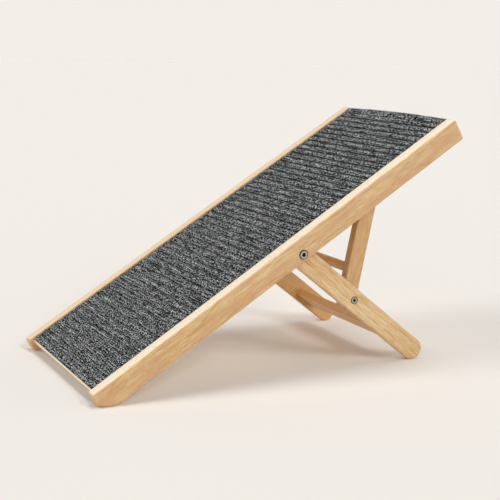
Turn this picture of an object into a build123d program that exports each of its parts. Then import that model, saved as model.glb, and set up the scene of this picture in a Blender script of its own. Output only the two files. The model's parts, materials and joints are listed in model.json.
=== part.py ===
from build123d import *
from math import asin, atan2, cos, degrees, hypot, radians, sin, tan
import os

# A folding pet ramp: a carpeted deck between two wooden rails, held up by a leg frame that turns on
# the rails and by a prop frame that turns on the legs and hooks into notched racks under the deck.
# X runs along the floor from the low end to the high end, Y across the ramp with the near side at -Y,
# and Z up from the floor. Lengths are millimetres and angles are degrees.

os.makedirs("parts", exist_ok=True)

# Ramp
incline = 31.9              # slope of the deck as it stands
ramp_width = 368            # over the outer faces of the rails
rail_length = 816
rail_height = 44
rail_thickness = 22
floor_meet = 28.7           # from the low end to where the line of the underside meets the floor
floor_flat = 22             # from that meeting line to the front of the flat that stands on the floor
nose_reach = 37.9           # from that meeting line to the foot of the nose
nose_lift = 4.5             # foot of the nose above the floor
nose_round = 6
foot_round = 4
flat_round = 15             # curve from the floor flat up to the foot of the nose
end_round = 5
knee_radius = 35            # curve from the floor flat into the underside
rail_outer_round = 5        # round-over of the outline on the outer face
rail_inner_round = 3

# Deck, measured square to the deck from the underside of the rails
deck_low = 33.0
board_thickness = 4.5
carpet_thickness = 4.0
carpet_base = 1.5           # backing left under the grooves between the ribs
carpet_gap = 0.5            # to each rail
rib_count = 53
front_set = 12.5            # from the low end to the carpet's front edge
deck_end = rail_length - 0.5   # the deck stops just short of the rails' high end
groove_depth = 6
groove_start = 18           # the grooves for the deck's tongues stop short of both ends
groove_end = 804

# Battens under the deck, placed by their middles along the rail
batten_width = 30
batten_round = 2
batten_depth = 12
stiffener_depth = 9
batten_middles = {"low": 40, "upper_mid": 524, "high": 789}
stiffener_middle = 219
stiffener_half_length = 135
batten_pin_diameter = 8
batten_pin_length = 24

# Leg frame
pivot_along = 431
pivot_above = 12.8
leg_length = 332            # rail pivot to the middle of the round foot
leg_width = 39.5
leg_thickness = 15
leg_edge = 1.2              # bevel that eases the edges of the legs and posts
stretcher_along = 268       # middle of the stretcher, from the rail pivot
stretcher_across = -3.5
stretcher_width = 48
stretcher_thickness = 15
stretcher_round = 2
stretcher_pin_diameter = 8
stretcher_pin_spread = 26
pin_into_leg = 10
pin_into_stretcher = 20

# Prop frame
prop_reach = 158            # rail pivot to prop pivot, along the leg
post_width = 31
post_thickness = 18
post_tail = 8               # prop pivot to the middle of the round lower end
crossbar_along = 53         # middle of the crossbar, from the prop pivot
crossbar_diameter = 18
crossbar_tenon = 10         # how far its ends are let into the posts
dowel_diameter = 12
dowel_half_length = 160
dowel_chamfer = 1

# Notched racks, fixed to the inner faces of the rails
seat_along = 627            # the notch that holds the dowel as the ramp stands
seat_above = 16.5
seat_clearance = 1.2        # radial, so that the dowel drops into a notch by itself
notch_pitch = 28
notches_before = 1          # notches nearer the low end than the one in use
notches_after = 2
rack_thickness = 16
tooth_depth = 3.5           # how far the teeth reach past the middle of the dowel
tooth_lead = 30             # slope of the teeth's leading faces against the deck
rack_before = 6
rack_after = 10
rack_round = 2
screw_diameter = 4
screw_head_diameter = 8
screw_head_height = 2.4
screw_length = 30
rack_screw_above = 28

# Pivot hardware
side_gap = 1.5              # between rail and leg, and between leg and post
washer_thickness = 1.0
fit_clearance = 0.05        # radial, wherever a piece turns on a shoulder
nut_float = 0.2             # end play under each nut
rail_head_diameter = 16
rail_head_height = 2.4
rail_head_sink = 1.5
rail_shoulder = 8
rail_tip = 6
rail_tip_length = 2.4
rail_nut_diameter = 14
rail_nut_height = 3.0
rail_nut_sink = 3.5
rail_socket = 5
rail_washer_diameter = 18
prop_head_diameter = 13
prop_head_height = 2.2
prop_head_sink = 2.4
prop_shoulder = 7
prop_tip = 5
prop_tip_length = 3.0
prop_nut_diameter = 12
prop_nut_height = 4.0
prop_socket = 4
prop_washer_diameter = 16
sink_clearance = 1.0        # radial, round a head or a nut in its counterbore
hardware_chamfer = 0.8      # round the outer edge of heads and nuts
socket_floor = 0.7          # left under a head's hexagon socket

# Levels across the ramp, on the near side
rail_inner = ramp_width / 2 - rail_thickness
leg_outer = rail_inner - side_gap
leg_inner = leg_outer - leg_thickness
post_outer = leg_inner - side_gap
post_inner = post_outer - post_thickness
rack_inner = rail_inner - rack_thickness

# Levels square to the deck
deck_top = deck_low + board_thickness
carpet_top = deck_top + carpet_thickness
groove_level = deck_top + carpet_base

# Outline of a rail: distance up the ramp, and height square to the underside
slope_x = cos(radians(incline))
slope_z = sin(radians(incline))
nose_top = (0, rail_height)
end_top = (rail_length, rail_height)
end_low = (rail_length, 0)
knee = (floor_meet, 0)
flat_front = (floor_meet - floor_flat * slope_x, floor_flat * slope_z)
nose_foot = (
    floor_meet - nose_reach * slope_x + nose_lift * slope_z,
    nose_reach * slope_z + nose_lift * slope_x,
)

# The low end's place along X leaves the rails' outline centred over the origin
nose_corner = atan2(rail_height - nose_foot[1], nose_foot[0])
nose_centre = nose_round / tan(nose_corner / 2)
least_x = nose_centre * slope_x - (rail_height - nose_round) * slope_z - nose_round
most_x = (rail_length - end_round) * slope_x - end_round * slope_z + end_round
low_x = -(least_x + most_x) / 2
low_z = -floor_meet * slope_z
out_of_deck = Axis((0, 0, 0), (-slope_z, 0, slope_x))


def place(along, above):
    """X and Z of a point given up the ramp and square to the rails' underside."""
    return low_x + along * slope_x - above * slope_z, low_z + along * slope_z + above * slope_x


def side_plane(x, y, z, slope):
    """Plane seen from the near side, whose own X axis rises at the slope."""
    return Plane(origin=(x, y, z), x_dir=(cos(radians(slope)), 0, sin(radians(slope))), z_dir=(0, -1, 0))


# Linkage: the leg's foot stands on the floor, and the post reaches from the leg to its notch
pivot_x, pivot_z = place(pivot_along, pivot_above)
leg_slope = -degrees(asin((pivot_z - leg_width / 2) / leg_length))
prop_x = pivot_x + prop_reach * cos(radians(leg_slope))
prop_z = pivot_z + prop_reach * sin(radians(leg_slope))
dowel_x, dowel_z = place(seat_along, seat_above)
post_length = hypot(dowel_x - prop_x, dowel_z - prop_z)
post_slope = degrees(atan2(dowel_z - prop_z, dowel_x - prop_x))


def deck_plane(y):
    return side_plane(low_x, y, low_z, incline)


def leg_plane(y):
    return side_plane(pivot_x, y, pivot_z, leg_slope)


def post_plane(y):
    return side_plane(prop_x, y, prop_z, post_slope)


def inward(plane):
    """The same plane, facing the middle of the ramp."""
    return Plane(origin=plane.origin, x_dir=plane.x_dir, z_dir=-plane.z_dir)


def front_along(above):
    """Distance up the ramp of the plumb front edge of the deck, at a height square to the underside."""
    return front_set + (above - carpet_top) * tan(radians(incline))


def save(piece, node):
    piece.part.label = node
    export_step(piece.part, f"parts/{node}.step")


def save_pair(near, node):
    with BuildPart() as far:
        mirror(near.part, about=Plane.XZ)
    save(near, f"{node}_near")
    save(far, f"{node}_far")


# Wooden pins between the battens and the rails
batten_pin_level = deck_low - batten_depth / 2
batten_pin_points = [(batten_middle, batten_pin_level) for batten_middle in batten_middles.values()]

with BuildPart() as batten_pins:
    with BuildSketch(deck_plane(-rail_inner)):
        with Locations(*batten_pin_points):
            Circle(batten_pin_diameter / 2)
    extrude(amount=batten_pin_length / 2, both=True)
    mirror(about=Plane.XZ)
save(batten_pins, "batten_pins")

# Plywood deck, with a tongue along each side that stops short of both ends
with BuildPart() as deck_board:
    with BuildSketch(deck_plane(0)):
        with BuildLine():
            Polyline(
                (front_along(deck_low), deck_low),
                (deck_end, deck_low),
                (deck_end, deck_top),
                (front_along(deck_top), deck_top),
                close=True,
            )
        make_face()
    extrude(amount=rail_inner, both=True)
    with BuildSketch(deck_plane(0)):
        with Locations(((groove_start + groove_end) / 2, (deck_low + deck_top) / 2)):
            Rectangle(groove_end - groove_start, board_thickness)
    extrude(amount=rail_inner + groove_depth, both=True)
save(deck_board, "deck_board")

# Ribbed carpet on the plywood, each rib an arc across the whole width
rib_start = front_along(groove_level)
rib_pitch = (deck_end - rib_start) / rib_count

with BuildPart() as carpet:
    with BuildSketch(deck_plane(0)):
        with BuildLine():
            Polyline(
                (rib_start, groove_level),
                (front_along(deck_top), deck_top),
                (deck_end, deck_top),
                (deck_end, groove_level),
            )
            for rib in range(rib_count):
                foot = rib_start + rib * rib_pitch
                ThreePointArc(
                    (foot, groove_level),
                    (foot + rib_pitch / 2, carpet_top),
                    (foot + rib_pitch, groove_level),
                )
        make_face()
    extrude(amount=rail_inner - carpet_gap, both=True)
save(carpet, "carpet")

# Battens from rail to rail, and one stiffener that leaves room for the folded legs
for batten_name, batten_middle in batten_middles.items():
    with BuildPart() as batten:
        with BuildSketch(deck_plane(0)):
            with Locations((batten_middle, deck_low - batten_depth / 2)):
                Rectangle(batten_width, batten_depth)
        extrude(amount=rail_inner, both=True)
        fillet(batten.edges().filter_by(Axis.Y).sort_by(out_of_deck)[:2], batten_round)
        add(batten_pins.part, mode=Mode.SUBTRACT)
    save(batten, f"batten_{batten_name}")

with BuildPart() as stiffener:
    with BuildSketch(deck_plane(0)):
        with Locations((stiffener_middle, deck_low - stiffener_depth / 2)):
            Rectangle(batten_width, stiffener_depth)
    extrude(amount=stiffener_half_length, both=True)
    fillet(stiffener.edges().filter_by(Axis.Y).sort_by(out_of_deck)[:2], batten_round)
save(stiffener, "batten_lower_mid")

# Countersunk screws that hold the racks to the rails
seats = [seat_along + notch_pitch * step for step in range(-notches_before, notches_after + 1)]
rack_screw_points = [(seats[0], rack_screw_above), (seats[-1], rack_screw_above)]

with BuildPart(deck_plane(-rack_inner)) as rack_screws:
    with Locations(*rack_screw_points):
        Cone(
            screw_head_diameter / 2,
            screw_diameter / 2,
            screw_head_height,
            align=(Align.CENTER, Align.CENTER, Align.MIN),
        )
        Cylinder(screw_diameter / 2, screw_length, align=(Align.CENTER, Align.CENTER, Align.MIN))
    mirror(about=Plane.XZ)
save(rack_screws, "rack_screws")

# Notched rack: each notch has a square wall towards the high end, which takes the prop's thrust,
# a round seat for the dowel, and a sloping lead that lets the dowel out towards the low end
seat_radius = dowel_diameter / 2 + seat_clearance
tooth_level = seat_above - tooth_depth
lead_slope = radians(tooth_lead)
lead_top = (-seat_radius * sin(lead_slope), seat_above + seat_radius * cos(lead_slope))
lead_run = (lead_top[1] - tooth_level) / tan(lead_slope)
rack_start = seats[0] + lead_top[0] - lead_run - rack_before
rack_end = seats[-1] + seat_radius + rack_after

with BuildPart() as notch_rack:
    with BuildSketch(deck_plane(-rack_inner)) as rack_outline:
        with BuildLine():
            tooth_tip = (rack_start, tooth_level)
            for seat in seats:
                lead_start = (seat + lead_top[0] - lead_run, tooth_level)
                Polyline(tooth_tip, lead_start, (seat + lead_top[0], lead_top[1]))
                CenterArc((seat, seat_above), seat_radius, 0, 90 + tooth_lead)
                tooth_tip = (seat + seat_radius, tooth_level)
                Line((seat + seat_radius, seat_above), tooth_tip)
            Polyline(
                tooth_tip,
                (rack_end, tooth_level),
                (rack_end, deck_low),
                (rack_start, deck_low),
                (rack_start, tooth_level),
            )
        make_face()
        for corner in ((rack_start, tooth_level), (rack_end, tooth_level)):
            fillet(rack_outline.vertices().sort_by_distance(corner)[0], rack_round)
    extrude(amount=rack_thickness)
    add(rack_screws.part, mode=Mode.SUBTRACT)
save_pair(notch_rack, "notch_rack")

# Side rail: one board with a foot cut to the floor, grooved for the deck and bored for its fixings
rail_corners = (
    (nose_top, nose_round),
    (end_top, end_round),
    (end_low, end_round),
    (knee, knee_radius),
    (flat_front, flat_round),
    (nose_foot, foot_round),
)

with BuildPart() as side_rail:
    with BuildSketch(deck_plane(-rail_inner)) as rail_outline:
        with BuildLine():
            Polyline(*[corner for corner, radius in rail_corners], close=True)
        make_face()
        for corner, radius in rail_corners:
            fillet(rail_outline.vertices().sort_by_distance(corner)[0], radius)
    extrude(amount=rail_thickness)
    fillet(side_rail.faces().sort_by(Axis.Y)[0].edges(), rail_outer_round)
    fillet(side_rail.faces().sort_by(Axis.Y)[-1].edges(), rail_inner_round)
    with Locations(leg_plane(-ramp_width / 2)):
        CounterBoreHole(
            rail_shoulder / 2 + fit_clearance,
            rail_head_diameter / 2 + sink_clearance,
            rail_head_sink,
        )
    for fitted in (deck_board, batten_pins, rack_screws):
        add(fitted.part, mode=Mode.SUBTRACT)
save_pair(side_rail, "side_rail")

# Wooden pins in the ends of the stretcher
stretcher_pin_points = [
    (stretcher_along - stretcher_pin_spread / 2, stretcher_across),
    (stretcher_along + stretcher_pin_spread / 2, stretcher_across),
]

with BuildPart() as stretcher_pins:
    with BuildSketch(leg_plane(-leg_inner + pin_into_stretcher)):
        with Locations(*stretcher_pin_points):
            Circle(stretcher_pin_diameter / 2)
    extrude(amount=pin_into_stretcher + pin_into_leg)
    mirror(about=Plane.XZ)
save(stretcher_pins, "stretcher_pins")

# Leg: the outer end of its prop bolt and the nut of its rail bolt are let into the wood
with BuildPart() as leg:
    with BuildSketch(leg_plane(-leg_inner)):
        with Locations((leg_length / 2, 0)):
            SlotCenterToCenter(leg_length, leg_width)
    extrude(amount=leg_thickness)
    chamfer(leg.faces().filter_by(Axis.Y).edges(), leg_edge)
    with Locations(inward(leg_plane(-leg_inner))):
        CounterBoreHole(
            rail_shoulder / 2 + fit_clearance,
            rail_nut_diameter / 2 + sink_clearance,
            rail_nut_sink,
        )
    with Locations(post_plane(-leg_outer)):
        CounterBoreHole(
            prop_shoulder / 2 + fit_clearance,
            prop_head_diameter / 2 + sink_clearance,
            prop_head_sink,
        )
    add(stretcher_pins.part, mode=Mode.SUBTRACT)
save_pair(leg, "leg")

with BuildPart() as leg_stretcher:
    with BuildSketch(leg_plane(0)):
        with Locations((stretcher_along, stretcher_across)):
            Rectangle(stretcher_width, stretcher_thickness)
    extrude(amount=leg_inner, both=True)
    fillet(leg_stretcher.edges().filter_by(Axis.Y), stretcher_round)
    add(stretcher_pins.part, mode=Mode.SUBTRACT)
save(leg_stretcher, "leg_stretcher")

# Round bar that holds the posts apart
with BuildPart() as prop_crossbar:
    with BuildSketch(post_plane(0)):
        with Locations((crossbar_along, 0)):
            Circle(crossbar_diameter / 2)
    extrude(amount=post_inner + crossbar_tenon, both=True)
save(prop_crossbar, "prop_crossbar")

# Round bar through the tops of the posts, whose ends lie in the racks' notches
with BuildPart() as prop_top_dowel:
    with BuildSketch(post_plane(0)):
        with Locations((post_length, 0)):
            Circle(dowel_diameter / 2)
    extrude(amount=dowel_half_length, both=True)
    chamfer(prop_top_dowel.edges().filter_by(GeomType.CIRCLE), dowel_chamfer)
save(prop_top_dowel, "prop_top_dowel")

# Post: round at both ends, with its tail reaching below the prop pivot
with BuildPart() as prop_post:
    with BuildSketch(post_plane(-post_inner)):
        with Locations(((post_length - post_tail) / 2, 0)):
            SlotCenterToCenter(post_length + post_tail, post_width)
    extrude(amount=post_thickness)
    chamfer(prop_post.faces().filter_by(Axis.Y).edges(), leg_edge)
    with Locations(post_plane(-post_outer)):
        Hole(prop_shoulder / 2 + fit_clearance)
    for fitted in (prop_crossbar, prop_top_dowel):
        add(fitted.part, mode=Mode.SUBTRACT)
save_pair(prop_post, "prop_post")


def shoulder_bolt(seat, head, head_height, socket, shoulder, shoulder_length, tip, tip_length):
    """Bolt with a bevelled head and a hexagon socket, outside the seat, and a shoulder that pieces turn on."""
    with BuildPart() as bolt:
        with BuildSketch(seat):
            Circle(head / 2)
        extrude(amount=head_height)
        chamfer(bolt.faces().sort_by(Axis.Y)[0].edges(), hardware_chamfer)
        with BuildSketch(seat.offset(head_height)):
            RegularPolygon(socket / 2, 6, major_radius=False)
        extrude(amount=socket_floor - head_height, mode=Mode.SUBTRACT)
        with BuildSketch(seat):
            Circle(shoulder / 2)
        extrude(amount=-shoulder_length)
        with BuildSketch(seat.offset(-shoulder_length)):
            Circle(tip / 2)
        extrude(amount=-tip_length)
    return bolt


def round_nut(seat, diameter, height, bore, bore_depth):
    """Blind round nut that stands on the seat, with its outer edge bevelled."""
    with BuildPart() as nut:
        with BuildSketch(seat):
            Circle(diameter / 2)
        extrude(amount=height)
        chamfer(nut.faces().sort_by(Axis.Y)[-1].edges(), hardware_chamfer)
        with BuildSketch(seat):
            Circle(bore / 2)
        extrude(amount=bore_depth, mode=Mode.SUBTRACT)
    return nut


def washer(seat, diameter, bore):
    with BuildPart() as ring:
        with BuildSketch(seat):
            Circle(diameter / 2)
            Circle(bore / 2 + fit_clearance, mode=Mode.SUBTRACT)
        extrude(amount=washer_thickness)
    return ring


# Hardware of the rail pivots: head let into the rail, nut let into the leg
rail_bolt_seat = leg_plane(-ramp_width / 2 + rail_head_sink)
rail_shoulder_length = rail_thickness - rail_head_sink + side_gap + leg_thickness - rail_nut_sink + nut_float
rail_nut_seat = inward(rail_bolt_seat.offset(-rail_shoulder_length))
rail_pivot_bolt = shoulder_bolt(
    rail_bolt_seat,
    rail_head_diameter,
    rail_head_height,
    rail_socket,
    rail_shoulder,
    rail_shoulder_length,
    rail_tip,
    rail_tip_length,
)
save_pair(rail_pivot_bolt, "rail_pivot_bolt")
rail_pivot_nut = round_nut(rail_nut_seat, rail_nut_diameter, rail_nut_height, rail_tip, rail_tip_length)
save_pair(rail_pivot_nut, "rail_pivot_nut")
rail_pivot_washer = washer(inward(leg_plane(-rail_inner)), rail_washer_diameter, rail_shoulder)
save_pair(rail_pivot_washer, "rail_pivot_washer")

# Hardware of the prop pivots: head let into the leg, cap nut standing on the post
prop_bolt_seat = post_plane(-leg_outer + prop_head_sink)
prop_shoulder_length = leg_thickness - prop_head_sink + side_gap + post_thickness + nut_float
prop_nut_seat = inward(prop_bolt_seat.offset(-prop_shoulder_length))
prop_pivot_bolt = shoulder_bolt(
    prop_bolt_seat,
    prop_head_diameter,
    prop_head_height,
    prop_socket,
    prop_shoulder,
    prop_shoulder_length,
    prop_tip,
    prop_tip_length,
)
save_pair(prop_pivot_bolt, "prop_pivot_bolt")
prop_pivot_nut = round_nut(prop_nut_seat, prop_nut_diameter, prop_nut_height, prop_tip, prop_tip_length)
save_pair(prop_pivot_nut, "prop_pivot_nut")
prop_pivot_washer = washer(inward(post_plane(-leg_inner)), prop_washer_diameter, prop_shoulder)
save_pair(prop_pivot_washer, "prop_pivot_washer")

# Angles of the fold: the leg swings down and back until it lies along the deck, pointing at the low
# end, while the post turns on the leg until it points back past the rail pivot
leg_travel = 180 - (incline - leg_slope)
post_travel = 180 + leg_slope - post_slope
print(f"rail pivot x {pivot_x:.3f} z {pivot_z:.3f}")
print(f"prop pivot x {prop_x:.3f} z {prop_z:.3f}")
print(f"dowel x {dowel_x:.3f} z {dowel_z:.3f}, post {post_length:.2f} long at {post_slope:.2f} degrees")
print(f"leg at {leg_slope:.2f} degrees, travel {leg_travel:.3f}, post travel {post_travel:.3f}")
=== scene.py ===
"""Looks of a folding pet ramp: pale lacquered wood, ribbed carpet, plated bolts, and a plain studio."""

import json
import math
import random

import bmesh
import bpy
from bpy.props import FloatProperty, FloatVectorProperty, IntProperty, PointerProperty
from mathutils import Matrix, Vector, noise


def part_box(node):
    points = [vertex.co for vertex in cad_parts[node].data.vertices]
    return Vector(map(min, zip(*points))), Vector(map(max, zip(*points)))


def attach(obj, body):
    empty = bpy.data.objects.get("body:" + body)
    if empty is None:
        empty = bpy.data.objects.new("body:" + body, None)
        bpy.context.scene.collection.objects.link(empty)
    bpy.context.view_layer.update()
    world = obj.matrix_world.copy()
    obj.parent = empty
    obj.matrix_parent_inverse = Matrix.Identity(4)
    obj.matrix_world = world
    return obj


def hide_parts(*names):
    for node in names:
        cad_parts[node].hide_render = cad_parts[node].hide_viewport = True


bl_info = {
    "name": "Folding Pet Ramp",
    "version": (1, 0, 0),
    "blender": (4, 5, 0),
    "location": "View3D > Sidebar > Ramp",
    "description": "Dresses a folding wooden pet ramp and sets it in a plain studio",
    "category": "Object",
}

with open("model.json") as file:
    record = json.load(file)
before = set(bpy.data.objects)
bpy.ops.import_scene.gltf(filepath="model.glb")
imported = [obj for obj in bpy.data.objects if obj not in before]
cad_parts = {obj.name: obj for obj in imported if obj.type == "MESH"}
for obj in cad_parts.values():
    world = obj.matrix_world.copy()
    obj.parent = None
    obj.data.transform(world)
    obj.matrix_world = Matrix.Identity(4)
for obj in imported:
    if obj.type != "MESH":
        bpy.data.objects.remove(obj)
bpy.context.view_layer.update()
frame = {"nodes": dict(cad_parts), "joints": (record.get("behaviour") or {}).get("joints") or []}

MM = 0.001

# Width of a bolt's socket as a share of its head
SOCKET_SHARE = 0.42

# Width of the camera's sensor in millimetres, the unit that Blender takes here
SENSOR_WIDTH = 36

# Sockets of the colour version of the Mix node, whose names repeat
MIX_A = 6
MIX_B = 7
MIX_RESULT = 2


def linear(code):
    """Linear colour of an sRGB hex value."""
    channels = [int(code[place:place + 2], 16) / 255 for place in (1, 3, 5)]
    return tuple(c / 12.92 if c <= 0.04045 else ((c + 0.055) / 1.055) ** 2.4 for c in channels)


def middle(name):
    """Middle of a CAD node's box."""
    low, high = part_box(name)
    return (low + high) / 2


def pivot(joint):
    """Point of the frame that a joint turns about."""
    return Vector(next(j for j in frame["joints"] if j["name"] == joint)["pos_m"])


def slope(start, end):
    """Angle above the floor of the line from one point to another, seen from the near side."""
    return math.atan2(end.z - start.z, end.x - start.x)


# Slopes of the three bodies as they stand, from the pieces and pivots of the frame
deck_slope = slope(middle("batten_low"), middle("batten_high"))
leg_slope = slope(pivot("leg_fold"), pivot("prop_fold"))
post_slope = slope(pivot("prop_fold"), middle("prop_top_dowel"))

# Height and floor length of one metre of deck
deck_rise = math.sin(deck_slope)
deck_run = math.cos(deck_slope)

# Turns that bring a texture's X axis along the grain of each kind of piece
GRAIN_DECK = (0, deck_slope, 0)
GRAIN_LEG = (0, leg_slope, 0)
GRAIN_POST = (0, post_slope, 0)
GRAIN_ACROSS = (0, 0, -math.pi / 2)


def deck_place(along, across, above):
    """Point of the frame, given up the deck from the origin, across it, and square to it."""
    return Vector((along * deck_run - above * deck_rise, across, along * deck_rise + above * deck_run))


def above_deck(point):
    """How far a point of the frame lies from the origin, square to the deck."""
    return point.z * deck_run - point.x * deck_rise


def deck_range(name):
    """Lowest and highest (along, across, above) of a CAD node, in the deck's own directions."""
    points = [v.co for v in frame["nodes"][name].data.vertices]
    turned = [(p.x * deck_run + p.z * deck_rise, p.y, above_deck(p)) for p in points]
    return [min(axis) for axis in zip(*turned)], [max(axis) for axis in zip(*turned)]


def node(tree, kind, inputs=None, **settings):
    """Add a shader node, set its properties, and fill its inputs with values or other nodes' outputs."""
    made = tree.nodes.new(kind)
    for name, value in settings.items():
        setattr(made, name, value)
    for place, value in (inputs or {}).items():
        if isinstance(value, bpy.types.NodeSocket):
            tree.links.new(value, made.inputs[place])
        else:
            made.inputs[place].default_value = value
    return made


def new_material(name):
    """An empty node material, with its tree and its output."""
    material = bpy.data.materials.new(name)
    material.use_nodes = True
    tree = material.node_tree
    tree.nodes.clear()
    return material, tree, node(tree, "ShaderNodeOutputMaterial")


def opaque(colour):
    """Colour of a property as a shader's socket takes it."""
    return (*colour, 1)


def dress(names, material):
    """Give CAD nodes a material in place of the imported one."""
    for name in names:
        for slot in frame["nodes"][name].material_slots:
            slot.material = material


class WoodLooks(bpy.types.PropertyGroup):
    """Rubberwood, a pale plantation hardwood, under a thin satin lacquer."""

    pale: FloatVectorProperty(
        name="Pale wood", description="Colour of the early wood between the growth lines",
        subtype="COLOR", size=3, min=0, max=1, default=linear("#D9BF92"),
    )
    deep: FloatVectorProperty(
        name="Deep wood", description="Colour of the growth lines and streaks",
        subtype="COLOR", size=3, min=0, max=1, default=linear("#B68748"),
    )
    rosy: FloatVectorProperty(
        name="Rosy wood", description="Colour of the patches nearer the heart",
        subtype="COLOR", size=3, min=0, max=1, default=linear("#C2946B"),
    )
    # Painted shade: warm, saturated colour that boards standing in shade are pushed towards
    shade_amber: FloatVectorProperty(
        name="Amber wood", description="Colour of boards sawn nearer the heart",
        subtype="COLOR", size=3, min=0, max=1, default=linear("#DCA153"),
    )
    # Painted highlight colour of the boards' upper faces, also the colour of the plywood's faces
    top_highlight_and_ply: FloatVectorProperty(
        name="Bleached wood", description="Colour that daylight gives the upper faces",
        subtype="COLOR", size=3, min=0, max=1, default=linear("#F5E8D0"),
    )
    pore: FloatVectorProperty(
        name="Pores", description="Colour of the short open pores and of the end grain",
        subtype="COLOR", size=3, min=0, max=1, default=linear("#906235"),
    )
    ring_width: FloatProperty(
        name="Ring width", description="Distance between growth lines",
        unit="LENGTH", subtype="DISTANCE", default=9 * MM,
    )
    streak_width: FloatProperty(
        name="Streak width", description="Width of the streaks along the grain",
        unit="LENGTH", subtype="DISTANCE", default=2.2 * MM,
    )
    fibre_width: FloatProperty(
        name="Fibre width", description="Width of the finest fibres drawn",
        unit="LENGTH", subtype="DISTANCE", default=1.6 * MM,
    )
    pore_length: FloatProperty(
        name="Pore length", description="Length of a pore line along the grain",
        unit="LENGTH", subtype="DISTANCE", default=9 * MM,
    )
    pore_spacing: FloatProperty(
        name="Pore spacing", description="Distance between pore lines across the grain",
        unit="LENGTH", subtype="DISTANCE", default=2.4 * MM,
    )
    roughness: FloatProperty(
        name="Roughness", description="Roughness of the sanded wood under the lacquer",
        subtype="FACTOR", min=0, max=1, default=0.45,
    )


class CarpetLooks(bpy.types.PropertyGroup):
    """Ribbed needle-punched carpet."""

    ribs: IntProperty(name="Ribs", description="Ribs from the low end to the high end", default=53)
    rows_per_rib: IntProperty(
        name="Rows per rib", description="Rows of needle holes in each rib", default=3,
    )
    groove_share: FloatProperty(
        name="Groove share", description="Share of the pitch that a groove takes",
        subtype="FACTOR", min=0.05, max=0.9, default=0.78,
    )
    foot_share: FloatProperty(
        name="Foot share", description="Share of the carpet's thickness that is left under a groove",
        subtype="FACTOR", min=0, max=1, default=0.375,
    )
    ripple: FloatProperty(
        name="Ripple", description="How far the pile's surface wanders",
        unit="LENGTH", subtype="DISTANCE", default=0.7 * MM,
    )
    end_swell: FloatProperty(
        name="End swell", description="How far the middle of the last rib stands proud of the others",
        unit="LENGTH", subtype="DISTANCE", default=4.5 * MM,
    )
    end_fall: FloatProperty(
        name="End fall", description="How steeply the last rib falls at the carpet's edge; 2 is round",
        default=8,
    )
    # Also the colour that the painted shade in the furrows darkens towards
    dark: FloatVectorProperty(
        name="Dark fibre", description="Colour of the dark fibres and of the pile's foot",
        subtype="COLOR", size=3, min=0, max=1, default=linear("#121415"),
    )
    light: FloatVectorProperty(
        name="Light fibre", description="Colour of the light fibres",
        subtype="COLOR", size=3, min=0, max=1, default=linear("#BCBEBE"),
    )
    fibre_count: IntProperty(
        name="Loose fibres", description="Fibres that stand up from the pile", default=9000,
    )
    end_fibre_count: IntProperty(
        name="End fibres", description="More of them at the high end", default=700,
    )
    fibre_seed: IntProperty(name="Fibre seed", description="Seed of the fibres' places", default=11)
    fibre_length: FloatProperty(
        name="Fibre length", description="Longest loose fibre",
        unit="LENGTH", subtype="DISTANCE", default=3.2 * MM,
    )
    fibre_width: FloatProperty(
        name="Fibre width", description="Width of a bundle of fibres, drawn coarser than single ones",
        unit="LENGTH", subtype="DISTANCE", default=0.7 * MM,
    )
    fleck_length: FloatProperty(
        name="Fleck length", description="Length of a fleck along a rib",
        unit="LENGTH", subtype="DISTANCE", default=3.8 * MM,
    )
    fleck_width: FloatProperty(
        name="Fleck width", description="Width of a fleck across a rib",
        unit="LENGTH", subtype="DISTANCE", default=2.2 * MM,
    )
    thread_length: FloatProperty(
        name="Thread length", description="Length of a matted thread along a rib",
        unit="LENGTH", subtype="DISTANCE", default=40 * MM,
    )
    thread_width: FloatProperty(
        name="Thread width", description="Width of a matted thread across a rib",
        unit="LENGTH", subtype="DISTANCE", default=1.6 * MM,
    )


class HardwareLooks(bpy.types.PropertyGroup):
    """Plated bolts, nuts and screws, and nylon washers."""

    steel: FloatVectorProperty(
        name="Nickel", description="Colour of the nickel plating",
        subtype="COLOR", size=3, min=0, max=1, default=linear("#B4B0A8"),
    )
    # Painted shade colour in the bolt heads' sockets and round their rims
    socket_shade: FloatVectorProperty(
        name="Tarnish", description="Colour of the grime in the socket and round the head's rim",
        subtype="COLOR", size=3, min=0, max=1, default=linear("#1E1C1A"),
    )
    steel_roughness: FloatProperty(
        name="Plating roughness", description="Roughness of the plating",
        subtype="FACTOR", min=0, max=1, default=0.28,
    )
    nylon: FloatVectorProperty(
        name="Nylon", description="Colour of the washers",
        subtype="COLOR", size=3, min=0, max=1, default=linear("#E7E0CF"),
    )


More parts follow.
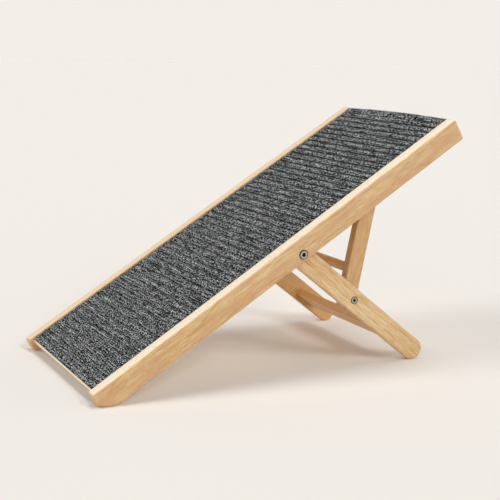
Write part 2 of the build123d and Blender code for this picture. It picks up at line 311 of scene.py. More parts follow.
class StageLooks(bpy.types.PropertyGroup):
    """Seamless pale floor, soft light from overhead, the front and the left, and the camera."""

    floor: FloatVectorProperty(
        name="Floor", description="Colour of the floor and background",
        subtype="COLOR", size=3, min=0, max=1, default=linear("#F3EEE8"),
    )
    floor_size: FloatProperty(
        name="Floor size", description="Side of the floor",
        unit="LENGTH", subtype="DISTANCE", default=60,
    )
    ambient: FloatProperty(
        name="Ambient", description="Share of the floor's light from all round",
        subtype="FACTOR", min=0, max=1, default=0.36,
    )
    key: FloatProperty(
        name="Key", description="Share of the floor's light from the lamp overhead",
        subtype="FACTOR", min=0, max=1, default=0.29,
    )
    key_heading: FloatProperty(
        name="Key heading", description="Way to the overhead lamp, turned from behind towards the left",
        subtype="ANGLE", default=math.radians(280),
    )
    key_height: FloatProperty(
        name="Key height", description="Height of the overhead lamp above the floor",
        subtype="ANGLE", default=math.radians(84),
    )
    key_spread: FloatProperty(
        name="Key spread", description="Size of the overhead lamp, seen from the ramp",
        subtype="ANGLE", default=math.radians(24),
    )
    fill: FloatProperty(
        name="Fill", description="Share of the floor's light from the front lamp",
        subtype="FACTOR", min=0, max=1, default=0.19,
    )
    fill_heading: FloatProperty(
        name="Fill heading", description="Way to the front lamp, turned from behind towards the left",
        subtype="ANGLE", default=math.radians(195),
    )
    fill_height: FloatProperty(
        name="Fill height", description="Height of the front lamp above the floor",
        subtype="ANGLE", default=math.radians(38),
    )
    fill_spread: FloatProperty(
        name="Fill spread", description="Size of the front lamp, seen from the ramp",
        subtype="ANGLE", default=math.radians(22),
    )
    side: FloatProperty(
        name="Side", description="Share of the floor's light from the lamp on the left",
        subtype="FACTOR", min=0, max=1, default=0.16,
    )
    side_heading: FloatProperty(
        name="Side heading", description="Way to the left lamp, turned from behind towards the left",
        subtype="ANGLE", default=math.radians(80),
    )
    side_height: FloatProperty(
        name="Side height", description="Height of the left lamp above the floor",
        subtype="ANGLE", default=math.radians(42),
    )
    side_spread: FloatProperty(
        name="Side spread", description="Size of the left lamp, seen from the ramp",
        subtype="ANGLE", default=math.radians(24),
    )
    camera_place: FloatVectorProperty(
        name="Camera place", description="Where the camera stands",
        subtype="XYZ", unit="LENGTH", size=3, default=(-0.8919, -1.6864, 0.5707),
    )
    camera_heading: FloatProperty(
        name="Camera heading", description="Turn to the right of a view square to the near rail",
        subtype="ANGLE", default=math.radians(28.375),
    )
    camera_tilt: FloatProperty(
        name="Camera tilt", description="Tilt below the horizon",
        subtype="ANGLE", default=math.radians(10.992),
    )
    camera_roll: FloatProperty(
        name="Camera roll", description="Turn of the picture about the line of sight",
        subtype="ANGLE", default=math.radians(1.563),
    )
    camera_lens: FloatProperty(
        name="Focal length", description="For a sensor 36 mm wide, in millimetres",
        unit="CAMERA", default=75.39,
    )


def lacquered_rubberwood(name, looks, grain_turn, pith, tone=0.0, wander=70 * MM, lines=0.2, heart=0.75,
                         shade_amber=0.0, top_highlight=0.0):
    """Sawn, sanded and satin lacquered rubberwood: growth lines run along the board and drift slowly, fine
    streaks, rosy patches and short brown pores break them up, the upper faces are painted paler as a
    painted highlight, end grain is darker, and the lacquer leaves a soft sheen.

    The pith is the axis of the growth rings, across and above the origin, and the wander is how far the
    rings drift. The tone makes one board deeper than another. Lines and heart are how strongly the growth
    lines and the rosy patches show, the shade amber is how far the whole board goes to a warm, saturated
    colour, painted shade on boards that stand in shade, and the top highlight is how far its upper faces
    are painted paler, a painted highlight."""
    material, tree, output = new_material(name)
    coordinates = node(tree, "ShaderNodeTexCoord")
    facing = coordinates.outputs["Normal"]
    turned = node(tree, "ShaderNodeMapping", {
        "Vector": coordinates.outputs["Object"], "Rotation": grain_turn}).outputs[0]

    # Length along the grain, width across it and levels of detail, then the noise at which a pattern starts
    # and is full; fibres are drawn coarser than they are, to show at all
    patterns = {
        "drift": (320 * MM, 50 * MM, 2, 0.35, 0.65),
        "patch": (75 * MM, 17 * MM, 3, 0.42, 0.68),
        "streak": (70 * MM, looks.streak_width, 3, 0.36, 0.66),
        "fibre": (26 * MM, looks.fibre_width, 2, 0.38, 0.62),
    }
    texture = {}
    level = {}
    for pattern, (length, width, detail, start, full) in patterns.items():
        sized = node(tree, "ShaderNodeVectorMath", {
            0: turned, 1: (1 / length, 1 / width, 1 / width)}, operation="MULTIPLY")
        texture[pattern] = node(tree, "ShaderNodeTexNoise", {
            "Vector": sized.outputs[0], "Scale": 1, "Detail": detail}).outputs["Fac"]
        level[pattern] = node(tree, "ShaderNodeMapRange", {
            "Value": texture[pattern], "From Min": start, "From Max": full}).outputs[0]

    # Growth lines: distance from the pith, pushed to and fro by the drift, in steps of a ring's width, each
    # pale for most of its width and dark in its late wood
    late_wood_power = 4
    spoke = node(tree, "ShaderNodeVectorMath", {0: turned, 1: (0, *pith)}, operation="SUBTRACT")
    radial = node(tree, "ShaderNodeVectorMath", {0: spoke.outputs[0], 1: (0, 1, 1)}, operation="MULTIPLY")
    reach = node(tree, "ShaderNodeVectorMath", {0: radial.outputs[0]}, operation="LENGTH")
    pushed = node(tree, "ShaderNodeMath", {
        0: texture["drift"], 1: wander, 2: reach.outputs["Value"]}, operation="MULTIPLY_ADD").outputs[0]
    rings = node(tree, "ShaderNodeMath", {0: pushed, 1: looks.ring_width}, operation="DIVIDE").outputs[0]
    phase = node(tree, "ShaderNodeMath", {0: rings}, operation="FRACT").outputs[0]
    line = node(tree, "ShaderNodeMath", {0: phase, 1: late_wood_power}, operation="POWER").outputs[0]

    # The figure deepens the pale wood, and the rosy patches lie over it
    figure = node(tree, "ShaderNodeMath", {0: line, 1: lines, 2: tone}, operation="MULTIPLY_ADD").outputs[0]
    strengths = {"drift": 0.3, "streak": 0.3, "fibre": 0.5}
    for pattern, strength in strengths.items():
        figure = node(tree, "ShaderNodeMath", {
            0: level[pattern], 1: strength, 2: figure}, operation="MULTIPLY_ADD").outputs[0]
    blush = node(tree, "ShaderNodeMath", {0: level["patch"], 1: heart}, operation="MULTIPLY").outputs[0]

    # Painted highlight: upper faces are painted paler, steep ones not at all and gentle ones fully
    steep = 0.35
    gentle = 0.8
    upward = node(tree, "ShaderNodeSeparateXYZ", {0: facing}).outputs["Z"]
    top_highlight_share = node(tree, "ShaderNodeMapRange", {
        "Value": upward, "From Min": steep, "From Max": gentle, "To Max": top_highlight}).outputs[0]

    # End grain: faces that cut across the grain are darker, slanting ones less so
    slanting = 0.75
    square = 0.95
    end_grain_strength = 0.35
    turned_facing = node(tree, "ShaderNodeMapping", {
        "Vector": facing, "Rotation": grain_turn}, vector_type="NORMAL").outputs[0]
    along = node(tree, "ShaderNodeSeparateXYZ", {0: turned_facing}).outputs["X"]
    cut = node(tree, "ShaderNodeMath", {0: along}, operation="ABSOLUTE").outputs[0]
    end_grain = node(tree, "ShaderNodeMapRange", {
        "Value": cut, "From Min": slanting, "From Max": square, "To Max": end_grain_strength}).outputs[0]

    # Pores: short dashes along the grain, drawn wider than they are, with soft edges
    pore_core = 0.15
    pore_edge = 0.35
    pore_strength = 0.25
    sized = node(tree, "ShaderNodeVectorMath", {
        0: turned, 1: (1 / looks.pore_length, 1 / looks.pore_spacing, 1 / looks.pore_spacing)},
        operation="MULTIPLY")
    cell = node(tree, "ShaderNodeTexVoronoi", {"Vector": sized.outputs[0], "Scale": 1})
    dash = node(tree, "ShaderNodeMapRange", {
        "Value": cell.outputs["Distance"], "From Min": pore_core, "From Max": pore_edge,
        "To Min": pore_strength, "To Max": 0}).outputs[0]
    browned = node(tree, "ShaderNodeMath", {0: dash, 1: end_grain}, operation="MAXIMUM").outputs[0]

    # Of the colours laid over the pale wood, the pale layer on the upper faces is painted highlight, and
    # the amber one painted shade
    layers = (
        (figure, looks.deep),
        (blush, looks.rosy),
        (shade_amber, looks.shade_amber),
        (top_highlight_share, looks.top_highlight_and_ply),
        (browned, looks.pore),
    )
    colour = opaque(looks.pale)
    for share, over in layers:
        colour = node(tree, "ShaderNodeMix", {
            0: share, MIX_A: colour, MIX_B: opaque(over)}, data_type="RGBA").outputs[MIX_RESULT]

    # Fibres and pores leave a slight relief under the lacquer, and the streaks vary its sheen
    fibre_relief = 0.4
    smoother = 0.05
    rougher = 0.07
    relief = node(tree, "ShaderNodeMath", {
        0: level["fibre"], 1: fibre_relief, 2: dash}, operation="MULTIPLY_ADD").outputs[0]
    bump = node(tree, "ShaderNodeBump", {
        "Height": relief, "Strength": 0.15, "Distance": -0.1 * MM}).outputs[0]
    gloss = node(tree, "ShaderNodeMapRange", {
        "Value": level["streak"], "To Min": looks.roughness - smoother,
        "To Max": looks.roughness + rougher}).outputs[0]
    shader = node(tree, "ShaderNodeBsdfPrincipled", {
        "Base Color": colour, "Roughness": gloss, "Normal": bump, "IOR": 1.5,
        "Coat Weight": 0.35, "Coat Roughness": 0.25})
    tree.links.new(shader.outputs[0], output.inputs["Surface"])
    return material


def birch_plywood(looks, thickness, level):
    """Rotary cut birch veneers glued crosswise: the sawn edge shows a darker core between two pale faces,
    with a painted brown shadow line below it, painted shade from under the board."""
    grain_length = 90 * MM
    grain_width = 3 * MM
    grain_strength = 0.3
    # Places in the edge are shares of half the thickness, from the middle
    core_half = 0.3
    core_end = 0.38
    core_strength = 0.3
    # Middle, half width and strength of the painted shadow line at the foot of the edge
    shadow_line_middle = -0.7
    shadow_line_half = 0.22
    shadow_line_strength = 0.85

    material, tree, output = new_material("birch_plywood")
    place = node(tree, "ShaderNodeTexCoord").outputs["Object"]
    turned = node(tree, "ShaderNodeMapping", {"Vector": place, "Rotation": GRAIN_DECK}).outputs[0]
    depth = node(tree, "ShaderNodeSeparateXYZ", {0: turned}).outputs["Z"]
    share = node(tree, "ShaderNodeMapRange", {
        "Value": depth, "From Min": level, "From Max": level + thickness,
        "To Min": -1, "To Max": 1}).outputs[0]
    off_core = node(tree, "ShaderNodeMath", {0: share}, operation="ABSOLUTE").outputs[0]
    core = node(tree, "ShaderNodeMapRange", {
        "Value": off_core, "From Min": core_half, "From Max": core_end,
        "To Min": core_strength, "To Max": 0}).outputs[0]
    sized = node(tree, "ShaderNodeVectorMath", {
        0: turned, 1: (1 / grain_length, 1 / grain_width, 1 / grain_width)}, operation="MULTIPLY")
    grain = node(tree, "ShaderNodeTexNoise", {"Vector": sized.outputs[0], "Scale": 1, "Detail": 3})
    tone = node(tree, "ShaderNodeMath", {
        0: grain.outputs["Fac"], 1: grain_strength, 2: core}, operation="MULTIPLY_ADD").outputs[0]
    # Painted shadow: a dark brown band along the lower part of the sawn edge, standing for the shade under
    # the board
    in_shadow_line = node(tree, "ShaderNodeMath", {
        0: share, 1: shadow_line_middle, 2: shadow_line_half}, operation="COMPARE").outputs[0]
    shadow_line = node(tree, "ShaderNodeMath", {0: in_shadow_line, 1: shadow_line_strength}, operation="MULTIPLY").outputs[0]
    colour = opaque(looks.top_highlight_and_ply)
    for strength, over in ((tone, looks.deep), (shadow_line, looks.pore)):
        colour = node(tree, "ShaderNodeMix", {
            0: strength, MIX_A: colour, MIX_B: opaque(over)}, data_type="RGBA").outputs[MIX_RESULT]
    shader = node(tree, "ShaderNodeBsdfPrincipled", {"Base Color": colour, "Roughness": 0.6, "IOR": 1.5})
    tree.links.new(shader.outputs[0], output.inputs["Surface"])
    return material


def needle_punched_carpet(looks, foot, top, low_end, high_end):
    """Polyester fibres of black and pale grey, needled into ribs: a matt pile, flecked along the ribs like
    salt and pepper, with painted shade in the furrows, faint at the low end and deep towards the high end.
    The fine rows of needle holes show most at the low end, and towards the high end the flecks are bolder."""
    material, tree, output = new_material("needle_punched_carpet")
    place = node(tree, "ShaderNodeTexCoord").outputs["Object"]
    turned = node(tree, "ShaderNodeMapping", {"Vector": place, "Rotation": GRAIN_DECK}).outputs[0]
    axes = node(tree, "ShaderNodeSeparateXYZ", {0: turned})

    # Flecks are matted fibres, several fibres wide, specks are finer ones, and threads run far along a rib
    speck_length = looks.fleck_length / 2.2
    speck_width = looks.fleck_width / 2
    patterns = {
        "thread": (looks.thread_length, looks.thread_width, 1),
        "fleck": (looks.fleck_length, looks.fleck_width, 2),
        "speck": (speck_length, speck_width, 1),
    }
    tones = {}
    for pattern, (length, width, detail) in patterns.items():
        sized = node(tree, "ShaderNodeVectorMath", {
            0: turned, 1: (1 / width, 1 / length, 1 / width)}, operation="MULTIPLY")
        tones[pattern] = node(tree, "ShaderNodeTexNoise", {
            "Vector": sized.outputs[0], "Scale": 1, "Detail": detail}).outputs["Fac"]

    # Strength of the rows and of the threads, the noise that gives a middle grey, the contrast, and how
    # light
    # the painted shade leaves a furrow: at the low end, after the change, and the share of the deck that
    # the change takes
    changes = {
        "rows": (0.03, 0.012, 1),
        "thread": (0.35, 0.4, 1),
        "middle": (1.003, 1.012, 1),
        "contrast": (5.8, 11.5, 1),
        "furrow": (0.75, 0.06, 0.8),
    }
    zone = {}
    for part, (at_low, after, share) in changes.items():
        zone[part] = node(tree, "ShaderNodeMapRange", {
            "Value": axes.outputs["X"],
            "From Min": low_end, "From Max": low_end + (high_end - low_end) * share,
            "To Min": at_low, "To Max": after}).outputs[0]

    # Rows of needle holes, one of them in each furrow
    turns = node(tree, "ShaderNodeMapRange", {
        "Value": axes.outputs["X"], "From Min": low_end, "From Max": high_end, "To Min": math.pi,
        "To Max": math.pi + math.tau * looks.ribs * looks.rows_per_rib}, clamp=False).outputs[0]
    wave = node(tree, "ShaderNodeMath", {0: turns}, operation="COSINE").outputs[0]

    # The mottle of rows, flecks, specks and threads, from dark fibre to light around the middle grey
    speck_strength = 0.5
    middle_grey = 0.5
    mottle = node(tree, "ShaderNodeMath", {
        0: wave, 1: zone["rows"], 2: tones["fleck"]}, operation="MULTIPLY_ADD").outputs[0]
    for pattern, strength in (("speck", speck_strength), ("thread", zone["thread"])):
        mottle = node(tree, "ShaderNodeMath", {
            0: tones[pattern], 1: strength, 2: mottle}, operation="MULTIPLY_ADD").outputs[0]
    centred = node(tree, "ShaderNodeMath", {0: mottle, 1: zone["middle"]}, operation="SUBTRACT").outputs[0]
    fleck = node(tree, "ShaderNodeMath", {
        0: centred, 1: zone["contrast"], 2: middle_grey},
        operation="MULTIPLY_ADD", use_clamp=True).outputs[0]

    # The furrows: painted shade, dark at the foot of the pile with flecks along its edges, faint at the low
    # end and deep at the high end; the shade lifts between two shares of the pile's height
    fleck_height = 0.25
    dark_up_to = 0.38
    light_from = 0.85
    pile = node(tree, "ShaderNodeMapRange", {
        "Value": axes.outputs["Z"], "From Min": foot, "From Max": top}).outputs[0]
    flecked = node(tree, "ShaderNodeMath", {
        0: tones["fleck"], 1: fleck_height, 2: pile}, operation="MULTIPLY_ADD").outputs[0]
    painted_furrow_shade = node(tree, "ShaderNodeMapRange", {
        "Value": flecked, "From Min": dark_up_to, "From Max": light_from,
        "To Min": zone["furrow"]}).outputs[0]
    tip = node(tree, "ShaderNodeMath", {0: fleck, 1: painted_furrow_shade}, operation="MULTIPLY").outputs[0]
    mixed = node(tree, "ShaderNodeMix", {
        0: tip, MIX_A: opaque(looks.dark), MIX_B: opaque(looks.light)}, data_type="RGBA")
    bump = node(tree, "ShaderNodeBump", {"Height": mottle, "Strength": 0.6, "Distance": 0.8 * MM})
    shader = node(tree, "ShaderNodeBsdfPrincipled", {
        "Base Color": mixed.outputs[MIX_RESULT], "Roughness": 0.95, "IOR": 1.45, "Specular IOR Level": 0.1,
        "Normal": bump.outputs[0]})
    tree.links.new(shader.outputs[0], output.inputs["Surface"])
    return material


def nickel_plated_steel(name, looks, centre, rim, socket):
    """Turned and barrel plated: a warm grey metal, cloudy on its flats, with painted shade in the socket at
    the centre of the head and round its rim."""
    cloud_size = 1.5 * MM
    smoother = 0.1
    rougher = 0.12
    # Where the painted shade ends round the socket, and where it starts and is full towards the rim
    socket_shade_end = socket * 1.15
    rim_shade_start = rim * 0.82
    rim_shade_full = rim * 0.92

    material, tree, output = new_material(name)
    place = node(tree, "ShaderNodeTexCoord").outputs["Object"]
    spoke = node(tree, "ShaderNodeVectorMath", {0: place, 1: centre}, operation="SUBTRACT")
    radial = node(tree, "ShaderNodeVectorMath", {0: spoke.outputs[0], 1: (1, 0, 1)}, operation="MULTIPLY")
    reach = node(tree, "ShaderNodeVectorMath", {0: radial.outputs[0]}, operation="LENGTH").outputs["Value"]
    inner = node(tree, "ShaderNodeMapRange", {
        "Value": reach, "From Min": socket, "From Max": socket_shade_end,
        "To Min": 1, "To Max": 0}).outputs[0]
    outer = node(tree, "ShaderNodeMapRange", {
        "Value": reach, "From Min": rim_shade_start, "From Max": rim_shade_full}).outputs[0]
    shade_share = node(tree, "ShaderNodeMath", {0: inner, 1: outer}, operation="MAXIMUM").outputs[0]
    mixed = node(tree, "ShaderNodeMix", {
        0: shade_share, MIX_A: opaque(looks.steel), MIX_B: opaque(looks.socket_shade)}, data_type="RGBA")
    cloud = node(tree, "ShaderNodeTexNoise", {
        "Vector": place, "Scale": 1 / cloud_size, "Detail": 3}).outputs["Fac"]
    rough = node(tree, "ShaderNodeMapRange", {
        "Value": cloud, "To Min": looks.steel_roughness - smoother,
        "To Max": looks.steel_roughness + rougher}).outputs[0]
    bump = node(tree, "ShaderNodeBump", {"Height": cloud, "Strength": 0.1, "Distance": 0.1 * MM})
    shader = node(tree, "ShaderNodeBsdfPrincipled", {
        "Base Color": mixed.outputs[MIX_RESULT], "Metallic": 1, "Roughness": rough,
        "Normal": bump.outputs[0]})
    tree.links.new(shader.outputs[0], output.inputs["Surface"])
    return material


def moulded_nylon(looks):
    """Injection moulded: off-white, slightly cloudy and slightly glossy."""
    cloud_size = 3 * MM
    smoothest = 0.35
    roughest = 0.5

    material, tree, output = new_material("moulded_nylon")
    place = node(tree, "ShaderNodeTexCoord").outputs["Object"]
    cloud = node(tree, "ShaderNodeTexNoise", {
        "Vector": place, "Scale": 1 / cloud_size, "Detail": 2}).outputs["Fac"]
    rough = node(tree, "ShaderNodeMapRange", {
        "Value": cloud, "To Min": smoothest, "To Max": roughest}).outputs[0]
    shader = node(tree, "ShaderNodeBsdfPrincipled", {
        "Base Color": opaque(looks.nylon), "Roughness": rough, "IOR": 1.53})
    tree.links.new(shader.outputs[0], output.inputs["Surface"])
    return material


def lacquer(looks, boards):
    """Give each board its own cut of lacquered rubberwood."""
    for name, cut in boards.items():
        dress([name], lacquered_rubberwood(f"rubberwood_{name}", looks, **cut))


class RAMP_OT_finish_rails(bpy.types.Operator):
    """Grain and lacquer on the rails, their racks and the battens between them"""

    bl_idname = "ramp.finish_rails"
    bl_label = "Finish rails"

    def execute(self, context):
        # Each board's painted highlight on its upper faces, and the warm painted shade of boards in shade,
        # are set below
        lacquer(context.scene.ramp_wood, {
            "side_rail_near": dict(
                grain_turn=GRAIN_DECK, pith=(-0.1, 0.13), tone=-0.07, lines=0.4, heart=0.9,
                top_highlight=0.85),
            "side_rail_far": dict(grain_turn=GRAIN_DECK, pith=(0.31, -0.02), shade_amber=0.3, top_highlight=0.5),
            "notch_rack_near": dict(grain_turn=GRAIN_DECK, pith=(-0.28, 0.2), tone=0.2),
            "notch_rack_far": dict(grain_turn=GRAIN_DECK, pith=(0.05, 0.3), tone=0.2),
            "batten_low": dict(grain_turn=GRAIN_ACROSS, pith=(0.2, 0.3)),
            "batten_lower_mid": dict(grain_turn=GRAIN_ACROSS, pith=(0.1, -0.2)),
            "batten_upper_mid": dict(grain_turn=GRAIN_ACROSS, pith=(-0.4, 0.2), tone=0.2),
            "batten_high": dict(grain_turn=GRAIN_ACROSS, pith=(0.1, 0.7)),
            "batten_pins": dict(grain_turn=GRAIN_ACROSS, pith=(0.3, 0.1)),
        })
        return {"FINISHED"}


class RAMP_OT_finish_legs(bpy.types.Operator):
    """Grain and lacquer on the leg frame and the prop frame"""

    bl_idname = "ramp.finish_legs"
    bl_label = "Finish legs and prop"

    straight: FloatProperty(
        name="Straight grain", description="How far the rings drift in a straight-grained leg",
        unit="LENGTH", subtype="DISTANCE", default=12 * MM,
    )

    def execute(self, context):
        # Boards that stand in shade take a warm painted shade, and upper faces a painted highlight, set
        # below
        lacquer(context.scene.ramp_wood, {
            "leg_near": dict(
                grain_turn=GRAIN_LEG, pith=(-0.24, 0.25), wander=self.straight, tone=-0.16, lines=0.45,
                heart=0.1, top_highlight=0.3),
            "leg_far": dict(
                grain_turn=GRAIN_LEG, pith=(0.24, 0.1), wander=self.straight, tone=0.2, lines=0.4,
                shade_amber=0.2, top_highlight=0.3),
            "leg_stretcher": dict(
                grain_turn=GRAIN_ACROSS, pith=(-0.3, 0.2), tone=0.2, shade_amber=0.7, top_highlight=0.1),
            "stretcher_pins": dict(grain_turn=GRAIN_ACROSS, pith=(-0.1, 0.2)),
            "prop_post_near": dict(grain_turn=GRAIN_POST, pith=(-0.22, -0.2), tone=0.15),
            "prop_post_far": dict(grain_turn=GRAIN_POST, pith=(0.26, -0.05), shade_amber=0.5),
            "prop_crossbar": dict(
                grain_turn=GRAIN_ACROSS, pith=(-0.2, 0.3), tone=0.3, shade_amber=0.7, top_highlight=0.1),
            "prop_top_dowel": dict(grain_turn=GRAIN_ACROSS, pith=(-0.1, 0.5)),
        })
        return {"FINISHED"}


class RAMP_OT_finish_deck(bpy.types.Operator):
    """Veneers of the plywood deck"""

    bl_idname = "ramp.finish_deck"
    bl_label = "Finish deck board"

    def execute(self, context):
        low, high = deck_range("deck_board")
        dress(["deck_board"], birch_plywood(context.scene.ramp_wood, high[2] - low[2], low[2]))
        return {"FINISHED"}


class RAMP_OT_lay_carpet(bpy.types.Operator):
    """Ribbed carpet, glued on the deck between the rails"""

    bl_idname = "ramp.lay_carpet"
    bl_label = "Lay carpet"

    steps_per_rib: IntProperty(name="Steps per rib", description="Mesh rows in each rib", default=10)
    columns: IntProperty(name="Columns", description="Mesh columns across the ramp", default=130)

    def execute(self, context):
        looks = context.scene.ramp_carpet
        low, high = deck_range("carpet")
        foot = low[2] + (high[2] - low[2]) * looks.foot_share
        front = low[0] + (high[2] - low[2]) * math.tan(deck_slope)
        data = self.form_pile(looks, low, high, foot)
        data.materials.append(needle_punched_carpet(looks, foot, high[2], front, high[0]))
        carpet = bpy.data.objects.new("ribbed_carpet", data)
        context.scene.collection.objects.link(carpet)
        fibres = self.raise_fibres(context, looks, data)
        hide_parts("carpet")
        for piece in (carpet, fibres):
            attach(piece, "ramp")
        return {"FINISHED"}

    def form_pile(self, looks, low, high, foot):
        """Mesh of the pile: ribs across the deck with a soft ripple, a plumb front and a flat back."""
        lump_along = 4 * MM
        lump_across = 7 * MM
        # Share of the ripple by which the lumps' middle lies below the crown
        sunk_share = 0.5
        sway_along = 9 * MM
        sway_across = 16 * MM
        sway_share = 0.8
        # Layers of the noise, far enough apart for the lumps and the sway to be unlike each other
        lump_layer = 0
        sway_layer = 7
        rows = looks.ribs * self.steps_per_rib
        # The last two ribs swell towards the high end, most of all in the middle of the deck's width
        swell_rows = 2 * self.steps_per_rib
        plumb = math.tan(deck_slope)
        mesh = bmesh.new()
        grid = []
        for row in range(rows + 1):
            share = row / rows
            rib_place = (row % self.steps_per_rib) / self.steps_per_rib
            past_last_crown = row > rows - self.steps_per_rib / 2
            fall = looks.end_fall if past_last_crown else 2 / looks.groove_share
            crown = 1 - abs(2 * rib_place - 1) ** fall
            near_end = max(0, 1 - (rows - row) / swell_rows)
            line = []
            for column in range(self.columns + 1):
                across = low[1] + (high[1] - low[1]) * column / self.columns
                above = foot + (high[2] - foot) * crown
                start = low[0] + (above - low[2]) * plumb
                along = start + (high[0] - start) * share
                lump = noise.noise(Vector((along / lump_along, across / lump_across, lump_layer)))
                sway = noise.noise(Vector((along / sway_along, across / sway_across, sway_layer)))
                above += looks.ripple * (lump - sunk_share) * crown
                bow = 1 - (2 * column / self.columns - 1) ** 2
                above += looks.end_swell * bow * near_end * crown
                if 0 < row < rows:
                    along += looks.ripple * sway_share * sway
                line.append(mesh.verts.new(deck_place(along, across, above)))
            grid.append(line)
        for here, after in zip(grid, grid[1:]):
            for column in range(self.columns):
                mesh.faces.new((here[column], here[column + 1], after[column + 1], after[column]))

        # Sides down to the deck, and the back
        rim = [edge for edge in mesh.edges if edge.is_boundary]
        lowered = bmesh.ops.extrude_edge_only(mesh, edges=rim)["geom"]
        for vertex in [item for item in lowered if isinstance(item, bmesh.types.BMVert)]:
            vertex.co += Vector((-deck_rise, 0, deck_run)) * (low[2] - above_deck(vertex.co))
        bmesh.ops.holes_fill(mesh, edges=[edge for edge in mesh.edges if edge.is_boundary])
        bmesh.ops.recalc_face_normals(mesh, faces=mesh.faces)
        data = bpy.data.meshes.new("ribbed_carpet")
        mesh.to_mesh(data)
        mesh.free()
        data.shade_smooth()
        return data

    def raise_fibres(self, context, looks, pile):
        """Loose fibres that stand up from the pile: slim three-sided spikes, rooted in its upper face."""
        upper_facing = 0.3
        lean_share = 0.9
        root_depth = 0.4 * MM
        shortest_share = 0.4
        end_zone = 4 * looks.fibre_length
        draw = random.Random(looks.fibre_seed)
        upward = Vector((-deck_rise, 0, deck_run))
        uphill = Vector((deck_run, 0, deck_rise))
        roots = [v.co for v in pile.vertices if v.normal.dot(upward) > upper_facing]
        end = max(root.dot(uphill) for root in roots) - end_zone
        end_roots = [root for root in roots if root.dot(uphill) > end]
        mesh = bmesh.new()
        for root in draw.sample(roots, looks.fibre_count) + draw.sample(end_roots, looks.end_fibre_count):
            lean = Vector((draw.uniform(-1, 1), draw.uniform(-1, 1), draw.uniform(-1, 1)))
            stand = (upward + lean_share * lean).normalized()
            side = stand.orthogonal().normalized() * looks.fibre_width / 2
            tip = mesh.verts.new(root + stand * draw.uniform(shortest_share, 1) * looks.fibre_length)
            ring = []
            for corner in range(3):
                turn = Matrix.Rotation(corner * math.tau / 3, 3, stand)
                ring.append(mesh.verts.new(root - root_depth * stand + turn @ side))
            mesh.faces.new(reversed(ring))
            for one, other in zip(ring, ring[1:] + ring[:1]):
                mesh.faces.new((one, other, tip))
        data = bpy.data.meshes.new("carpet_fibres")
        mesh.to_mesh(data)
        mesh.free()
        data.materials.append(pile.materials[0])
        fibres = bpy.data.objects.new("carpet_fibres", data)
        context.scene.collection.objects.link(fibres)
        return fibres


class RAMP_OT_finish_hardware(bpy.types.Operator):
    """Plating on the bolts, nuts and screws, and nylon for the washers"""

    bl_idname = "ramp.finish_hardware"
    bl_label = "Finish hardware"

    def execute(self, context):
        looks = context.scene.ramp_hardware
        nylon = moulded_nylon(looks)
        for joint, place in (("leg_fold", "rail_pivot"), ("prop_fold", "prop_pivot")):
            low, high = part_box(f"{place}_bolt_near")
            rim = (high.x - low.x) / 2
            socket = rim * SOCKET_SHARE
            plated = nickel_plated_steel(f"nickel_plated_{place}", looks, pivot(joint), rim, socket)
            for side in ("near", "far"):
                dress([f"{place}_bolt_{side}", f"{place}_nut_{side}"], plated)
                dress([f"{place}_washer_{side}"], nylon)
        dress(["rack_screws"], plated)
        return {"FINISHED"}


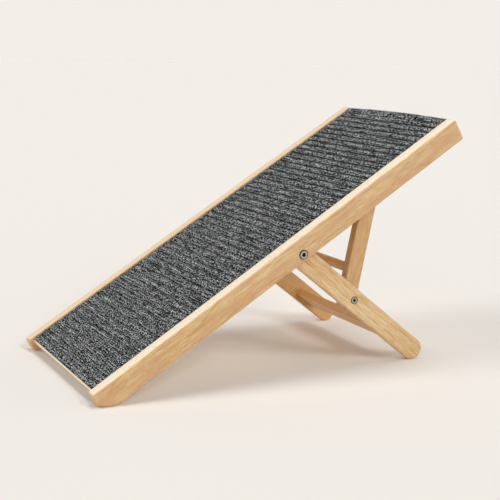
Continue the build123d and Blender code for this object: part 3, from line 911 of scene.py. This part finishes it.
class RAMP_OT_set_stage(bpy.types.Operator):
    """Floor, background, lamps and camera"""

    bl_idname = "ramp.set_stage"
    bl_label = "Set stage"

    def execute(self, context):
        looks = context.scene.ramp_stage
        self.lay_floor(context, looks)
        self.light_world(context, looks)
        for lamp in ("key", "fill", "side"):
            self.hang_lamp(context, looks, lamp)
        self.place_camera(context, looks)
        context.scene.view_settings.view_transform = "Standard"
        return {"FINISHED"}

    def lay_floor(self, context, looks):
        """Seamless matt paper, far wider than the view."""
        half = looks.floor_size / 2
        data = bpy.data.meshes.new("floor")
        corners = [(-half, -half, 0), (half, -half, 0), (half, half, 0), (-half, half, 0)]
        data.from_pydata(corners, [], [(0, 1, 2, 3)])
        material, tree, output = new_material("seamless_paper")
        matt = node(tree, "ShaderNodeBsdfDiffuse", {"Color": opaque(looks.floor)})
        tree.links.new(matt.outputs[0], output.inputs["Surface"])
        data.materials.append(material)
        floor = bpy.data.objects.new("floor", data)
        context.scene.collection.objects.link(floor)

    def light_world(self, context, looks):
        """Light from all round, strongest at the horizon, as from the pale walls of a studio, which gives a
        level floor its ambient share; the camera and mirrors see the background's own colour."""
        # A sky that falls off as the square of the height gives the floor a sixth of what an even one does
        fall_power = 2
        make_up = 6
        world = bpy.data.worlds.new("studio")
        world.use_nodes = True
        tree = world.node_tree
        tree.nodes.clear()
        rays = node(tree, "ShaderNodeLightPath")
        seen = rays.outputs["Is Camera Ray"]
        for kind in ("Is Glossy Ray", "Is Transmission Ray"):
            seen = node(tree, "ShaderNodeMath", {
                0: seen, 1: rays.outputs[kind]}, operation="MAXIMUM").outputs[0]
        direction = node(tree, "ShaderNodeTexCoord").outputs["Generated"]
        upward = node(tree, "ShaderNodeSeparateXYZ", {0: direction}).outputs["Z"]
        height = node(tree, "ShaderNodeMath", {0: upward}, operation="ABSOLUTE").outputs[0]
        below_top = node(tree, "ShaderNodeMath", {0: 1, 1: height}, operation="SUBTRACT").outputs[0]
        fallen = node(tree, "ShaderNodeMath", {0: below_top, 1: fall_power}, operation="POWER").outputs[0]
        level = node(tree, "ShaderNodeMath", {
            0: fallen, 1: make_up * looks.ambient}, operation="MULTIPLY").outputs[0]
        light = node(tree, "ShaderNodeBackground", {"Color": (1, 1, 1, 1), "Strength": level})
        backdrop = node(tree, "ShaderNodeBackground", {"Color": opaque(looks.floor), "Strength": 1})
        either = node(tree, "ShaderNodeMixShader", {0: seen, 1: light.outputs[0], 2: backdrop.outputs[0]})
        node(tree, "ShaderNodeOutputWorld", {"Surface": either.outputs[0]})
        context.scene.world = world

    def hang_lamp(self, context, looks, lamp):
        """Distant soft lamp, at a height above the floor, in a heading turned from straight behind to the
        left. Its share of the floor's light sets its strength: the world's and the lamps' add up to one."""
        share = getattr(looks, lamp)
        heading = getattr(looks, f"{lamp}_heading")
        height = getattr(looks, f"{lamp}_height")
        light = bpy.data.lights.new(f"{lamp}_light", "SUN")
        light.energy = share * math.pi / math.sin(height)
        light.angle = getattr(looks, f"{lamp}_spread")
        towards = Vector((
            -math.sin(heading) * math.cos(height),
            math.cos(heading) * math.cos(height),
            math.sin(height),
        ))
        hung = bpy.data.objects.new(f"{lamp}_light", light)
        hung.rotation_mode = "QUATERNION"
        hung.rotation_quaternion = towards.to_track_quat("Z", "Y")
        context.scene.collection.objects.link(hung)

    def place_camera(self, context, looks):
        """Camera in front of the near rail, on the low end's side of it."""
        data = bpy.data.cameras.new("camera")
        data.sensor_width = SENSOR_WIDTH
        data.lens = looks.camera_lens
        heading = looks.camera_heading
        tilt = looks.camera_tilt
        forward = Vector((
            math.sin(heading) * math.cos(tilt),
            math.cos(heading) * math.cos(tilt),
            -math.sin(tilt),
        ))
        right = Vector((math.cos(heading), -math.sin(heading), 0))
        level = Matrix((right, right.cross(forward), -forward)).transposed()
        turned = level @ Matrix.Rotation(looks.camera_roll, 3, "Z")
        camera = bpy.data.objects.new("camera", data)
        camera.matrix_world = Matrix.Translation(looks.camera_place) @ turned.to_4x4()
        context.scene.collection.objects.link(camera)
        context.scene.camera = camera


class RAMP_PT_looks(bpy.types.Panel):
    """Steps that dress the ramp"""

    bl_label = "Folding Pet Ramp"
    bl_idname = "RAMP_PT_looks"
    bl_space_type = "VIEW_3D"
    bl_region_type = "UI"
    bl_category = "Ramp"

    def draw(self, context):
        for step in steps:
            self.layout.operator(step.bl_idname)


groups = {
    "ramp_wood": WoodLooks,
    "ramp_carpet": CarpetLooks,
    "ramp_hardware": HardwareLooks,
    "ramp_stage": StageLooks,
}
steps = (
    RAMP_OT_finish_rails,
    RAMP_OT_finish_legs,
    RAMP_OT_finish_deck,
    RAMP_OT_lay_carpet,
    RAMP_OT_finish_hardware,
    RAMP_OT_set_stage,
)


def register():
    """Add the classes, and the groups of looks to the scene."""
    for cls in (*groups.values(), *steps, RAMP_PT_looks):
        bpy.utils.register_class(cls)
    for name, group in groups.items():
        setattr(bpy.types.Scene, name, PointerProperty(type=group))


def unregister():
    """Take the groups of looks and the classes away again."""
    for name in groups:
        delattr(bpy.types.Scene, name)
    for cls in reversed((*groups.values(), *steps, RAMP_PT_looks)):
        bpy.utils.unregister_class(cls)


def main():
    """Dress the ramp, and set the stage."""
    register()
    bpy.ops.ramp.finish_rails()
    bpy.ops.ramp.finish_legs()
    bpy.ops.ramp.finish_deck()
    bpy.ops.ramp.lay_carpet()
    bpy.ops.ramp.finish_hardware()
    bpy.ops.ramp.set_stage()


if __name__ == "__main__":
    main()
